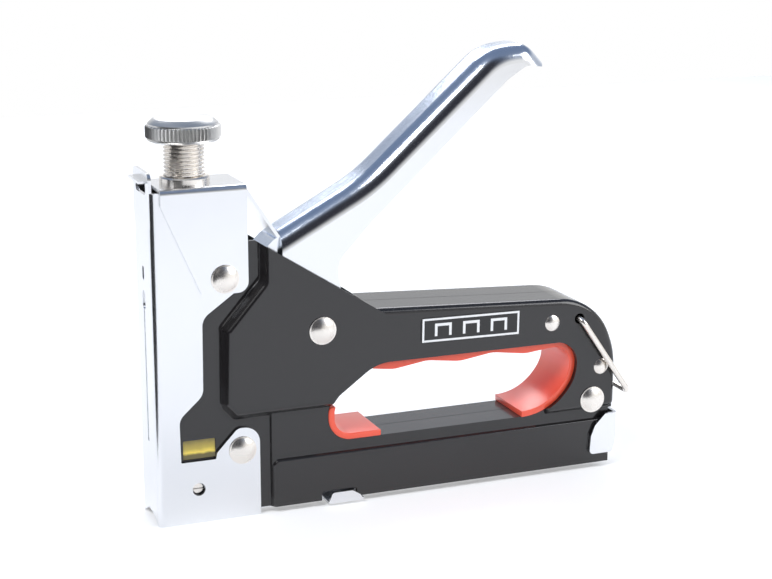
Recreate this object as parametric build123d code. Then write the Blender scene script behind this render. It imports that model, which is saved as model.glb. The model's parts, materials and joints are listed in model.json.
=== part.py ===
from build123d import *

import os
from math import cos, radians, sin, tan

# Hand staple gun: pressed steel tacker with a lever, power knob, wire lock and slide-out magazine.
# It is drawn with X from the nose face (X = 0) to the tail, Y = 0 on the mid-plane and Z = 0 on the
# face it stands on, and is moved at the end so that the origin is the middle of the nose foot.
# The right-hand side of the gun is at -Y. All sizes are in millimetres.

# ---- sheet and clearances -------------------------------------------------------------------
SHELL_SHEET = 1.2        # black body sheet
NOSE_SHEET = 1.1         # chromed nose, cap and clip sheet
LEVER_SHEET = 1.5        # lever sheet
RUN_FIT = 0.06           # radial clearance of a turning or sliding fit
SLIDE_GAP = 0.3          # side clearance of a loosely sliding part

# ---- body -----------------------------------------------------------------------------------
BODY_LENGTH = 166.9      # nose face to tail
BASE_Z = 2.1             # lower edge of the black shells
LOWER_TOP_Z = 22.5       # top of the lower beam
BEAM_LOW_Z = 48.7        # underside of the grip beam
BEAM_FRONT_X = 76.0      # where the grip beam starts
BEAM_FRONT_Z = 67.5      # its top there
BEAM_REAR_Z = 63.3       # its top where the tail corner would be
SHOULDER_X = 34.9        # rear end of the level shoulder behind the cap
SHOULDER_Z = 93.6
TAIL_STEP_Z = 22.0       # below this the tail is open for the magazine
NOSE_HALF = 10.3         # half width over the nose jacket
PANEL_HALF = 12.6        # half width over the raised side panels and the beam
MID_HALF = NOSE_HALF     # half width of the recessed band under the panel
BAND_HALF = NOSE_HALF + 0.9  # half width of the magazine band
BAND_TOP_Z = 19.4
BAND_FRONT_X = 38.6
PRESS_DRAFT = 35         # slope of the pressed steps, degrees
PRESS_ROUND = 1.6        # radius along their edges
EDGE_ROUND = 2.0         # radius along the beam, tail and finger hole

# ---- finger hole ----------------------------------------------------------------------------
HOLE_FRONT_X = 59.2
HOLE_REAR_X = BODY_LENGTH - 15.5
LINER_THICK = 2.1

# ---- nose -----------------------------------------------------------------------------------
CAP_TOP_Z = 112.5
CAP_REAR_X = 31.8
FRONT_TOP_Z = CAP_TOP_Z + 5.1
TONGUE_END_X = 43.2      # lower end of the cap's rear tongue
TONGUE_END_Z = SHOULDER_Z + 0.8
JACKET_REAR_X = 35.0
NOSE_BEND = 2.0          # outer radius of the jacket's vertical bends

# ---- power knob -----------------------------------------------------------------------------
KNOB_X = 14.5            # axis of knob, screw, spring and plunger
SCREW_R = 6.65
KNOB_R = 12.1
KNOB_UNDER_Z = CAP_TOP_Z + 13.7
KNOB_TOP_Z = KNOB_UNDER_Z + 7.4
COLLAR_R = SCREW_R + 1.45
COLLAR_TOP_Z = CAP_TOP_Z + 2.5
SEAT_Z = CAP_TOP_Z - 9.5  # underside of the spring seat, knob screwed right out
SEAT_R = 6.2

# ---- striker --------------------------------------------------------------------------------
PLUNGER_LOW_Z = 44.0
PLUNGER_TOP_Z = 60.0
PLUNGER_HALF = 6.3
BLADE_THICK = 0.9
BLADE_HALF = 5.9
BLADE_LOW_Z = 0.8
SPRING_WIRE = 1.6
SPRING_R = 4.4           # mean coil radius of the main spring

# ---- lever ----------------------------------------------------------------------------------
PIVOT_X = 56.6
PIVOT_Z = 62.0
LEVER_SWING = 40.0       # degrees
LEVER_HALF = PANEL_HALF - 3.0
NECK_HALF = LEVER_HALF - 2.7
BUSH_R = 4.0
PIN_R = 3.0
LIFT_REACH = 25.0        # pivot to the lifting pin, level
LIFT_PIN_R = 2.5
ARM_HALF = 3.0           # half depth of the lifter arm
ARM_WIDTH = 7.0

# ---- magazine -------------------------------------------------------------------------------
STAPLE_HALF = 5.65       # half width of a staple
STAPLE_WIRE = 0.7
CHANNEL_SHEET = 1.0
CHANNEL_HALF = STAPLE_HALF + CHANNEL_SHEET + 0.65
CHANNEL_TOP_Z = 19.0
FLOOR_Z = 1.0            # underside of the magazine floor behind the nose
CROWN_TOP_Z = 15.8       # top of the staple crowns
STAPLE_LEG = 8.0
STICK_LENGTH = 50.0
RAIL_HALF = STAPLE_HALF - STAPLE_WIRE - 0.35
RAIL_LOW_Z = 3.0
FOLLOWER_LENGTH = 12.0
CLIP_FRONT_X = BODY_LENGTH - 9.3
CLIP_WEB_X = BODY_LENGTH + 0.5  # inner face of the clip's web
CLIP_LOW_Z = 5.8
CLIP_TOP_Z = 20.4

# ---- wire bail ------------------------------------------------------------------------------
BAIL_R = 1.05
BAIL_HOLE_R = BAIL_R + 0.85  # the wire's ends hang loose in the shells
BAIL_X = BODY_LENGTH - 14.9
BAIL_Z = 56.6
BAIL_END_X = BODY_LENGTH + 4.5
BAIL_END_Z = 28.3

# ---- smaller shared sizes -------------------------------------------------------------------
SEAM_GAP = 0.24          # line between the two shells
SPIGOT_R = SCREW_R + 0.75  # collar's neck through the cap
TONGUE_HALF = NOSE_HALF - 0.5
SCREW_NECK_R = 4.0       # screw's neck in the knob
POCKET_DEPTH = 4.0       # spring pocket in the plunger
SHELF_Z = 42.0           # top of the guide's shelf
GUIDE_LOW_Z = 30.0
GUIDE_TOP_Z = CAP_TOP_Z - 3.5
BLADE_X = 2.4            # front face of the driver blade
STICK_FRONT_X = BLADE_X + BLADE_THICK + SLIDE_GAP
LEVER_ROUND = 6.0        # radius along the lever's top edges
DRIVE_PIN_R = 2.0
TAIL_STOP_X = BODY_LENGTH - 6.9  # rear end of the fixed channel
ROD_Z = 8.6
ROD_R = 1.0
SLOT_HALF = 1.1          # half width of the rail's slot
TAB_FRONT_X = 58.2       # folded tab of the magazine floor
TAB_REAR_X = 71.0
TAB_TOP_Z = 4.8
TAB_HALF = PANEL_HALF
BAIL_HALF = PANEL_HALF + 1.7  # wire centre to mid-plane
LINER_HALF = PANEL_HALF - 1.7

# ---- rivets: (x, z) of each -----------------------------------------------------------------
CAP_RIVET = (23.9, 82.2)
EAR_RIVET = (29.0, 23.4)
TAIL_RIVET = (BODY_LENGTH - 9.1, 26.4)
SMALL_RIVETS = ((BODY_LENGTH - 25.5, 56.0), (BODY_LENGTH - 5.9, 38.3))
LARGE_HEAD_R = 4.7
SMALL_HEAD_R = 2.8
RIVET_SHANK_R = 2.4
SMALL_SHANK_R = 1.5
STUD_AT = (13.8, 11.7)
STUD_HOLE_R = 2.2

FAR = 60.0               # reaches past the part, for open sides


# ---- drawing helpers ------------------------------------------------------------------------
def outline(corners):
    """Closed outline through (a, b) or (a, b, r) corners, rounded to r where it is given."""
    spans = []
    for i, corner in enumerate(corners):
        here = Vector(*corner[:2])
        radius = corner[2] if len(corner) > 2 else 0
        to_last = (Vector(*corners[i - 1][:2]) - here).normalized()
        to_next = (Vector(*corners[(i + 1) % len(corners)][:2]) - here).normalized()
        if radius:
            half = radians(to_last.get_angle(to_next) / 2)
            reach = radius / tan(half)
            middle = here + (to_last + to_next).normalized() * (radius / sin(half) - radius)
            spans.append((here + to_last * reach, middle, here + to_next * reach))
        else:
            spans.append((here, None, here))
    edges = []
    for i, (start, middle, end) in enumerate(spans):
        if middle is not None:
            edges.append(ThreePointArc(start, middle, end))
        following = spans[(i + 1) % len(spans)][0]
        if (following - end).length > 1e-6:
            edges.append(Line(end, following))
    return make_face(edges)


def side_plate(corners, y_low, y_high):
    """Side-view outline in X, Z made solid from y_low to y_high."""
    return extrude(Plane.XZ.offset(-y_high) * outline(corners), y_high - y_low)


def both_sides(corners, y_inner, y_outer):
    """The same side plate on each side of the mid-plane."""
    right = side_plate(corners, -y_outer, -y_inner)
    return right + mirror(right, about=Plane.XZ)


def block(x_low, x_high, y_low, y_high, z_low, z_high):
    """Box between two corners."""
    size = (x_high - x_low, y_high - y_low, z_high - z_low)
    return Pos(x_low, y_low, z_low) * Box(*size, align=(Align.MIN,) * 3)


def cross_bar(x, z, radius, y_low, y_high):
    """Round bar along Y."""
    bar = Cylinder(radius, y_high - y_low, align=(Align.CENTER, Align.CENTER, Align.MIN))
    return Pos(x, y_low, z) * Rot(-90, 0, 0) * bar


def upright(x, radius, z_low, z_high):
    """Round bar along Z on the mid-plane."""
    bar = Cylinder(radius, z_high - z_low, align=(Align.CENTER, Align.CENTER, Align.MIN))
    return Pos(x, 0, z_low) * bar


def lengthwise(x_low, x_high, radius, z):
    """Round bar along X on the mid-plane."""
    bar = Cylinder(radius, x_high - x_low, align=(Align.CENTER, Align.CENTER, Align.MIN))
    return Pos(x_low, 0, z) * Rot(0, 90, 0) * bar


def rivet_head(x, z, radius, y_face, height):
    """Low domed head standing on the face at y_face, on the right-hand side."""
    ball_r = (radius ** 2 + height ** 2) / (2 * height)
    ball = Pos(x, -y_face + ball_r - height, z) * Sphere(ball_r)
    return ball & block(x - FAR, x + FAR, -y_face - FAR, -y_face, z - FAR, z + FAR)


def through_rivet(at, head_r, shank_r, y_face):
    """Rivet right through the gun, with a head standing on y_face each side."""
    x, z = at
    head = rivet_head(x, z, head_r, y_face, head_r * 0.34)
    return cross_bar(x, z, shank_r, -y_face, y_face) + head + mirror(head, about=Plane.XZ)


def coil(radius, wire_r, pitch, turns):
    """Helical wire standing on Z = 0, with its wire centre rising from wire_r."""
    path = Helix(pitch, pitch * turns, radius)
    section = (path ^ 0) * Circle(wire_r)
    return Pos(0, 0, wire_r) * sweep(section, path=path, is_frenet=True)


# ---- black body shells ----------------------------------------------------------------------
def body_outline(inset, opened):
    """Side view of the body, set in by inset; open edges move out by opened instead."""
    slope = (BEAM_FRONT_Z - SHOULDER_Z) / (BEAM_FRONT_X - SHOULDER_X)
    tail = BODY_LENGTH - inset
    return outline([
        (5.0 - opened, BASE_Z - opened),
        (5.0 - opened, SHOULDER_Z + opened),
        (SHOULDER_X + opened, SHOULDER_Z + opened),
        (BEAM_FRONT_X + inset, BEAM_FRONT_Z - inset * (1 - slope)),
        (BODY_LENGTH - 8.0 - inset, BEAM_REAR_Z - inset, 22.0 - inset),
        (tail, 43.6, 30.0),
        (tail, TAIL_STEP_Z if not opened else TAIL_STEP_Z + inset),
        (BODY_LENGTH - 1.3 + opened, TAIL_STEP_Z if not opened else TAIL_STEP_Z + inset),
        (BODY_LENGTH - 1.3 + opened, BASE_Z - opened),
    ])


def hole_outline(grow):
    """Finger hole, opened out by grow."""
    front, rear = HOLE_FRONT_X - grow, HOLE_REAR_X + grow
    low, high = LOWER_TOP_Z - grow, BEAM_LOW_Z + grow
    return outline([
        (front, low, 8.0 + grow),
        (front, 36.6 + grow * 0.3, 10.0 + grow),
        (75.9 - grow * 0.4, high, 15.0 + grow),
        (rear, high, 8.0 + grow),
        (rear, 35.2 - grow * 0.4, 14.5 + grow),
        (HOLE_REAR_X - 10.2 + grow * 0.4, low, 21.0 + grow),
    ])


def pressed_panel(corners, low_half, high_half, round_r):
    """Raised panel on the right-hand side, with sloping walls and soft edges."""
    panel = extrude(Plane.XZ.offset(low_half) * outline(corners), high_half - low_half, taper=PRESS_DRAFT)
    joined = block(-FAR, 4 * FAR, -low_half, 0, -FAR, 3 * FAR) + panel
    soft = [
        edge for edge in joined.edges()
        if min(abs(edge.center().Y + low_half), abs(edge.center().Y + high_half)) < 1e-4
        and 0 < edge.center().X < 2.8 * FAR and -40 < edge.center().Z < 1.8 * FAR]
    return fillet(soft, round_r)


def body_form(inset, opened):
    """Right half of the body as a full lump, its skin set in by inset."""
    far_x, far_z, deep_z = 3 * FAR, 2 * FAR, -FAR + 5
    low_half = NOSE_HALF - NOSE_SHEET - inset
    tail_z = TAIL_STEP_Z - 0.4
    panel = pressed_panel(
        [(35.8, far_z), (35.8, 81.0, 3), (22.2, 65.5, 3), (21.6, 39.0, 3), (26.0, 34.0, 3),
         (BODY_LENGTH - 32.9, 34.0), (BODY_LENGTH - 26.9, tail_z), (far_x, tail_z), (far_x, far_z)],
        low_half, PANEL_HALF - inset, PRESS_ROUND)
    mid = pressed_panel(
        [(BAND_FRONT_X, deep_z), (BAND_FRONT_X, 50.0), (far_x, 50.0), (far_x, deep_z)],
        low_half, MID_HALF - inset, 0.5)
    band = pressed_panel(
        [(BAND_FRONT_X, deep_z), (BAND_FRONT_X, BAND_TOP_Z, 3), (far_x, BAND_TOP_Z), (far_x, deep_z)],
        low_half, BAND_HALF - inset, 0.6)
    side = body_outline(inset, opened) - hole_outline(inset)
    form = (panel + mid + band) & extrude(Plane.XZ * side, PANEL_HALF + 1)
    return round_skin(form, PANEL_HALF - inset, EDGE_ROUND - inset)


def round_skin(form, half, radius):
    """Round the long edges of the beam and tail where the side turns over."""
    edges = [
        edge for edge in form.edges()
        if abs(edge.center().Y + half) < 1e-3 and on_turned_edge(edge.center())]
    return fillet(edges, radius)


def on_turned_edge(point):
    """Whether a side edge is one that turns over into a flange: beam top or tail."""
    beam_top = point.X > BEAM_FRONT_X + 3 and point.Z > BEAM_REAR_Z - 4
    tail = point.X > BODY_LENGTH - 16 and point.Z > TAIL_STEP_Z + 3 and point.Z < BEAM_REAR_Z
    return beam_top or (tail and point.X > HOLE_REAR_X + 2)


def punched(solid, at, radius):
    """Solid with a round hole along Y right through it."""
    x, z = at
    return solid - cross_bar(x, z, radius, -FAR, FAR)


def shell_right():
    """Pressed right-hand body shell with its turned-in beam, tail and finger-hole flanges."""
    shell = body_form(0, 0) - body_form(SHELL_SHEET, 5)
    shell -= block(-FAR, 4 * FAR, -SEAM_GAP / 2, FAR, -FAR, 3 * FAR)
    for at in (CAP_RIVET, EAR_RIVET, TAIL_RIVET):
        shell = punched(shell, at, RIVET_SHANK_R + RUN_FIT)
    for at in SMALL_RIVETS:
        shell = punched(shell, at, SMALL_SHANK_R + RUN_FIT)
    shell = punched(shell, (PIVOT_X, PIVOT_Z), PIN_R + RUN_FIT)
    shell = punched(shell, (BAIL_X, BAIL_Z), BAIL_HOLE_R)
    shell = punched(shell, STUD_AT, STUD_HOLE_R)
    shell -= side_plate(window_corners(0), -FAR, 0)
    notch = [(TAB_FRONT_X - 1.8, BASE_Z - 5), (TAB_FRONT_X - 1.8, TAB_TOP_Z + 0.4, 0.8),
             (TAB_REAR_X - 2.0, TAB_TOP_Z + 0.4, 0.8), (TAB_REAR_X - 2.0, BASE_Z - 5)]
    return shell - side_plate(notch, -FAR, 0)


def window_corners(inset):
    """Staple window just behind the nose jacket's edge, set in by inset."""
    return [(9.0 + inset, 21.9 + inset), (20.0 - inset, 21.9 + inset),
            (20.0 - inset, 28.5 - inset, 0.4), (9.0 + inset, 28.5 - inset, 0.4)]


def window_lenses():
    """Clear amber windows, one sunk in each shell."""
    inner = NOSE_HALF - NOSE_SHEET - SHELL_SHEET
    return both_sides(window_corners(0.05), inner, inner + 0.9)


# ---- nose -----------------------------------------------------------------------------------
def bent_upright(x_bend, x_open, half, radius):
    """Upright U-shaped lump, open towards x_open, with its two corners at x_bend rounded."""
    plan = outline([(x_bend, -half, radius), (x_open, -half), (x_open, half), (x_bend, half, radius)])
    return extrude(Plane.XY.offset(-FAR) * plan, 4 * FAR)


def nose_jacket():
    """Chromed nose bent round the front, with a rear ear and a lanced tongue at the top."""
    side = [
        (0, 0), (JACKET_REAR_X, 0), (JACKET_REAR_X, 30.9, 5.4), (27.5, 31.1, 3), (20.3, 23.6, 1.5),
        (19.8, 21.4, 0.4), (8.0, 21.4, 0.4), (7.8, 36.4, 4.5), (16.0, 43.8, 5), (16.3, 69.4, 5),
        (29.6, 78.8), (29.6, CAP_TOP_Z - NOSE_SHEET - 0.1), (0, CAP_TOP_Z - NOSE_SHEET - 0.1)]
    inside = NOSE_HALF - NOSE_SHEET
    outer = bent_upright(0, FAR, NOSE_HALF, NOSE_BEND) & side_plate(side, -NOSE_HALF, NOSE_HALF)
    core = bent_upright(NOSE_SHEET, FAR, inside, NOSE_BEND - NOSE_SHEET)
    flap, flap_low = NOSE_HALF - 0.9, CAP_TOP_Z - 12.5
    front = Plane.YZ * outline([
        (-flap, flap_low), (flap, flap_low), (flap, FRONT_TOP_Z, 2.2), (-flap, FRONT_TOP_Z, 2.2)])
    jacket = (outer - core) + extrude(front, NOSE_SHEET)
    slot_low, slot_top = CAP_TOP_Z - 2.3, CAP_TOP_Z + 1.7
    slot = Plane.YZ * outline([(-6.0, slot_low, 1), (6.0, slot_low, 1), (6.0, slot_top), (-6.0, slot_top)])
    jacket -= Pos(-1, 0, 0) * extrude(slot, NOSE_SHEET + 2)
    jacket += block(-2.4, NOSE_SHEET, -6.8, 6.8, slot_top, slot_top + 0.8)
    arch = Plane.YZ * outline([
        (-8.4, -1), (8.4, -1), (8.4, 0.2), (2.6, 3.1, 0.8), (-2.6, 3.1, 0.8), (-8.4, 0.2)])
    jacket -= Pos(-1, 0, 0) * extrude(arch, NOSE_SHEET + 1.6)
    jacket -= Pos(-1, 0, 84.0) * front_slot(2.0, 4.6, 3)
    jacket -= Pos(-1, 0, 75.0) * front_slot(3.4, 6.4, 1.45)
    jacket -= Pos(-1, 0, 50.0) * front_slot(1.5, 46.0, 1.35)
    jacket = punched(jacket, STUD_AT, STUD_HOLE_R)
    jacket = punched(jacket, EAR_RIVET, RIVET_SHANK_R + RUN_FIT)
    return punched(jacket, CAP_RIVET, RIVET_SHANK_R + RUN_FIT)


def front_slot(width, height, depth):
    """Upright slot with round ends, reaching depth along X from X = 0."""
    shape = Plane.YZ * SlotOverall(height, width, rotation=90)
    return extrude(shape, depth)


def top_cap():
    """Chromed cap folded over the top of the nose, with a tongue sloping down behind it."""
    half = NOSE_HALF + NOSE_SHEET
    side = [(3.4, CAP_TOP_Z), (3.4, CAP_TOP_Z - 5.3, 1), (16.3, 77.3, 1),
            (CAP_REAR_X, 77.3, 3.6), (CAP_REAR_X, CAP_TOP_Z)]
    section = outline([(-half, 0), (half, 0), (half, CAP_TOP_Z, 1.7), (-half, CAP_TOP_Z, 1.7)])
    cap = side_plate(side, -half, half) & extrude(Plane.YZ * section, FAR)
    cap -= block(-FAR, 2 * FAR, -NOSE_HALF, NOSE_HALF, 0, CAP_TOP_Z - NOSE_SHEET)
    run_x, run_z = TONGUE_END_X - CAP_REAR_X + 0.5, CAP_TOP_Z - TONGUE_END_Z
    length = (run_x ** 2 + run_z ** 2) ** 0.5
    back_x, back_z = NOSE_SHEET * run_z / length, NOSE_SHEET * run_x / length
    tongue = [(CAP_REAR_X - 0.5, CAP_TOP_Z), (TONGUE_END_X, TONGUE_END_Z),
              (TONGUE_END_X - back_x, TONGUE_END_Z - back_z), (CAP_REAR_X - 0.5 - back_x, CAP_TOP_Z - back_z)]
    cap += side_plate(tongue, -TONGUE_HALF, TONGUE_HALF)
    cap -= upright(KNOB_X, SPIGOT_R, CAP_TOP_Z - 10, CAP_TOP_Z + 10)
    return punched(cap, CAP_RIVET, RIVET_SHANK_R + RUN_FIT)


def front_plate():
    """Hardened plate inside the nose that the driver blade slides on."""
    half = NOSE_HALF - 2.1
    return block(NOSE_SHEET, NOSE_SHEET + 1.0, -half, half, 3.6, GUIDE_TOP_Z)


def nose_guide():
    """Inner channel that guides the plunger, with a shelf for the bumper and a bridge at the top."""
    wall_out = NOSE_HALF - NOSE_SHEET - SHELL_SHEET - 0.1
    wall_in = PLUNGER_HALF + SLIDE_GAP * 2
    front_x, rear_x = NOSE_SHEET + 1.0, 26.0
    guide = block(front_x, rear_x, -wall_out, wall_out, GUIDE_LOW_Z, GUIDE_TOP_Z)
    guide -= block(-FAR, FAR, -wall_in, wall_in, 0, GUIDE_TOP_Z - 2.0)
    guide += block(STICK_FRONT_X, 22.0, -wall_out, wall_out, SHELF_Z - 2.0, SHELF_Z)
    guide -= upright(KNOB_X, SCREW_R + 0.6, SEAT_Z, CAP_TOP_Z)
    return punched(guide, CAP_RIVET, RIVET_SHANK_R + RUN_FIT)


def plunger_bumper():
    """Nylon pad that stops the plunger."""
    return block(7.0, 22.0, -PLUNGER_HALF, PLUNGER_HALF, SHELF_Z, PLUNGER_LOW_Z - 0.1)


def knob_collar():
    """Round threaded collar riveted into the cap."""
    collar = upright(KNOB_X, COLLAR_R, CAP_TOP_Z, COLLAR_TOP_Z)
    collar = chamfer(collar.edges().filter_by(GeomType.CIRCLE).sort_by(Axis.Z)[-1:], 0.5)
    collar += upright(KNOB_X, SPIGOT_R, CAP_TOP_Z - 2.4, CAP_TOP_Z)
    return collar - upright(KNOB_X, SCREW_R + RUN_FIT, SEAT_Z, KNOB_UNDER_Z)


def nose_studs():
    """Short slotted studs that hold the magazine walls in the nose, one each side."""
    x, z = STUD_AT
    stud = cross_bar(x, z, 1.7, -NOSE_HALF + 1.4, -CHANNEL_HALF)
    stud -= block(x - 3, x + 3, -NOSE_HALF, -NOSE_HALF + 1.9, z - 0.3, z + 0.3)
    return stud + mirror(stud, about=Plane.XZ)


# ---- power knob and main spring -------------------------------------------------------------
def power_knob():
    """Knurled knob that sets the driving power."""
    knob = upright(KNOB_X, KNOB_R, KNOB_UNDER_Z, KNOB_TOP_Z)
    rims = knob.edges().filter_by(GeomType.CIRCLE).sort_by(Axis.Z)
    knob = chamfer(rims[-1:], 2.8, 1.9)
    rims = knob.edges().filter_by(GeomType.CIRCLE).sort_by(Axis.Z)
    knob = chamfer(rims[:1], 0.6)
    return knob - upright(KNOB_X, SCREW_NECK_R, KNOB_UNDER_Z, KNOB_UNDER_Z + 4.0)


def adjuster_screw():
    """Screw under the knob, its thread crests left as a plain cylinder."""
    return upright(KNOB_X, SCREW_R, SEAT_Z + 2.5, KNOB_UNDER_Z) + \
        upright(KNOB_X, SCREW_NECK_R, KNOB_UNDER_Z, KNOB_UNDER_Z + 4.0)


def spring_seat():
    """Disc that the screw pushes down on the main spring."""
    return upright(KNOB_X, SEAT_R, SEAT_Z, SEAT_Z + 2.5)


def main_spring():
    """Heavy compression spring between plunger and seat."""
    low, high = PLUNGER_TOP_Z - POCKET_DEPTH + 0.1, SEAT_Z - 0.1
    turns = 8
    pitch = (high - low - SPRING_WIRE) / turns
    return Pos(KNOB_X, 0, low) * coil(SPRING_R, SPRING_WIRE / 2, pitch, turns)


# ---- striker --------------------------------------------------------------------------------
def lift_pin_at():
    """Rest place of the pin that the lifter arm pushes up."""
    droop = radians(LEVER_SWING / 2)
    rise = -LIFT_REACH * tan(droop) + (ARM_HALF + LIFT_PIN_R + SLIDE_GAP) / cos(droop)
    return PIVOT_X - LIFT_REACH, PIVOT_Z + rise


def plunger():
    """Striker block with a spring pocket and two rear ears for the lifting pin."""
    pin_x, pin_z = lift_pin_at()
    body = block(6.0, 22.5, -PLUNGER_HALF, PLUNGER_HALF, PLUNGER_LOW_Z, PLUNGER_TOP_Z)
    body -= upright(KNOB_X, SPRING_R + SPRING_WIRE / 2 + 0.8, PLUNGER_TOP_Z - POCKET_DEPTH, PLUNGER_TOP_Z + 1)
    body += block(BLADE_X + BLADE_THICK, 6.0, -5.0, 5.0, PLUNGER_LOW_Z + 2, PLUNGER_TOP_Z - 4)
    ear = [(20.0, 50.0), (27.0, 50.0), (pin_x + 3.6, pin_z - 3.6, 2), (pin_x + 3.6, pin_z + 3.6, 2),
           (pin_x - 3.4, pin_z + 3.6, 1), (pin_x - 3.4, PLUNGER_TOP_Z), (20.0, PLUNGER_TOP_Z)]
    body += both_sides(ear, ARM_WIDTH / 2 + SLIDE_GAP, PLUNGER_HALF)
    return punched(body, (pin_x, pin_z), LIFT_PIN_R)


def lift_pin():
    """Hardened roller pin across the plunger's ears."""
    pin_x, pin_z = lift_pin_at()
    return cross_bar(pin_x, pin_z, LIFT_PIN_R, -PLUNGER_HALF, PLUNGER_HALF)


def driver_blade():
    """Thin blade that drives one staple at a time."""
    return block(BLADE_X, BLADE_X + BLADE_THICK, -BLADE_HALF, BLADE_HALF, BLADE_LOW_Z, PLUNGER_TOP_Z - 4)


# ---- lever ----------------------------------------------------------------------------------
def lever_outline(inset):
    """Side view of the wide part of the lever; with an inset its top sets in and its underside drops."""
    drop = 3.0 if inset else 0
    return outline([
        (44.2 - drop, 95.2 - inset * 1.1),
        (73.4, 110.9 - inset * 1.15, 60 - inset),
        (119.2 + inset * 0.4, 151.9 - inset * 1.2, 20 - inset),
        (132.6 - inset * 0.2, 153.0 - inset, 8 - inset),
        (138.8 - inset * 0.9, 146.2 - inset * 0.6),
        (137.6 - inset * 0.9 + drop * 0.2, 144.8 - inset * 0.6 - drop),
        (131.4 + drop * 0.2, 145.8 - drop, 5),
        (124.2 + drop * 0.4, 141.2 - drop, 8),
        (74.8 + drop, 96.2 - drop, 16),
        (62.8 + drop, 83.6 - drop, 8),
        (65.0 + drop, 70.0, 5),
        (64.6 + drop, 53.6 - drop, 7),
        (43.4 - drop, 53.4 - drop, 6)])


def lever():
    """Chromed squeeze lever: a deep channel with a rounded top and a narrow neck in front."""
    outer = extrude(Plane.XZ.offset(-LEVER_HALF) * lever_outline(0), 2 * LEVER_HALF)
    outer = round_top(outer, LEVER_HALF, LEVER_ROUND)
    inner_half = LEVER_HALF - LEVER_SHEET
    inner = extrude(Plane.XZ.offset(-inner_half) * lever_outline(LEVER_SHEET), 2 * inner_half)
    inner = round_top(inner, inner_half, LEVER_ROUND - LEVER_SHEET)
    channel = outer - inner
    neck = [(48.0, 95.8), (43.4, 93.6), (41.7, 92.5), (36.8, 87.8, 1), (36.4, 83.0, 1), (42.0, 78.0), (48.0, 78.0)]
    hollow = [(60.0, 98.0), (48.0, 94.0), (42.2, 90.8), (38.4, 87.0), (34.0, 80.0), (42.0, 70.0), (60.0, 70.0)]
    front = side_plate(neck, -NECK_HALF, NECK_HALF)
    front -= side_plate(hollow, LEVER_SHEET - NECK_HALF, NECK_HALF - LEVER_SHEET)
    web = [(44.2, 95.0), (45.7, 95.6), (45.7, 78.0), (44.2, 78.0)]
    shoulder = side_plate(web, -LEVER_HALF + 1, LEVER_HALF - 1)
    shoulder -= side_plate(hollow, LEVER_SHEET - NECK_HALF, NECK_HALF - LEVER_SHEET)
    channel = channel + front + (shoulder & outer)
    channel = punched(channel, (PIVOT_X, PIVOT_Z), BUSH_R)
    return punched(channel, drive_pin_at(), DRIVE_PIN_R)


def round_top(solid, half, radius):
    """Round the two long top edges of a lever lump."""
    edges = [
        e for e in solid.edges()
        if abs(abs(e.center().Y) - half) < 1e-3 and e.length > 2 and on_lever_top(e.center())]
    return fillet(edges, radius)


def on_lever_top(point):
    """Whether a side edge lies along the top of the lever."""
    above = point.Z > 89.0 + (point.X - 44.2) * 0.66 if point.X < 128 else point.Z > 147.6
    return point.X > 45 and above


def drive_pin_at():
    """Place of the pin that locks the lifter arm to the lever."""
    droop = radians(LEVER_SWING / 2)
    return PIVOT_X - 9.5 * cos(droop), PIVOT_Z - 9.5 * sin(droop)


def drive_pin():
    """Pin through lever walls and lifter arm."""
    x, z = drive_pin_at()
    return cross_bar(x, z, DRIVE_PIN_R, -LEVER_HALF, LEVER_HALF)


def pivot_bush():
    """Tube pressed through the lever, turning on the pivot rivet."""
    bush = cross_bar(PIVOT_X, PIVOT_Z, BUSH_R, -LEVER_HALF - 0.6, LEVER_HALF + 0.6)
    return punched(bush, (PIVOT_X, PIVOT_Z), PIN_R + RUN_FIT)


def lifter_arm():
    """Hardened arm that points down to the plunger at rest and lifts it."""
    length = (LIFT_REACH + 3.0) / cos(radians(LEVER_SWING / 2))
    arm = outline([(0, -ARM_HALF), (-length, -ARM_HALF, 2), (-length, ARM_HALF, 0.6), (0, ARM_HALF)])
    boss = Plane.XZ.offset(-ARM_WIDTH / 2) * Circle(BUSH_R + 3.0)
    flat = extrude(Plane.XZ.offset(-ARM_WIDTH / 2) * arm, ARM_WIDTH) + extrude(boss, ARM_WIDTH)
    placed = Pos(PIVOT_X, 0, PIVOT_Z) * Rot(0, -LEVER_SWING / 2, 0) * flat
    placed = punched(placed, (PIVOT_X, PIVOT_Z), BUSH_R)
    return punched(placed, drive_pin_at(), DRIVE_PIN_R)


def lever_spring():
    """Torsion spring on the bush that opens the lever, one leg under the lever's top."""
    wire_r, mean_r, turns = 0.6, BUSH_R + 1.1, 2.1
    ring = coil(mean_r, wire_r, 2 * wire_r + 0.12, turns)
    start_y = -LEVER_HALF + LEVER_SHEET + 0.4
    ring = Pos(PIVOT_X, start_y, PIVOT_Z) * Rot(-90, 0, 0) * ring
    leg = cross_bar(0, 0, wire_r - 0.04, -1.2, 36.0)
    rising = Pos(PIVOT_X + mean_r, start_y + wire_r, PIVOT_Z) * Rot(90, 0, 0) * leg
    return ring + rising


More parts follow.
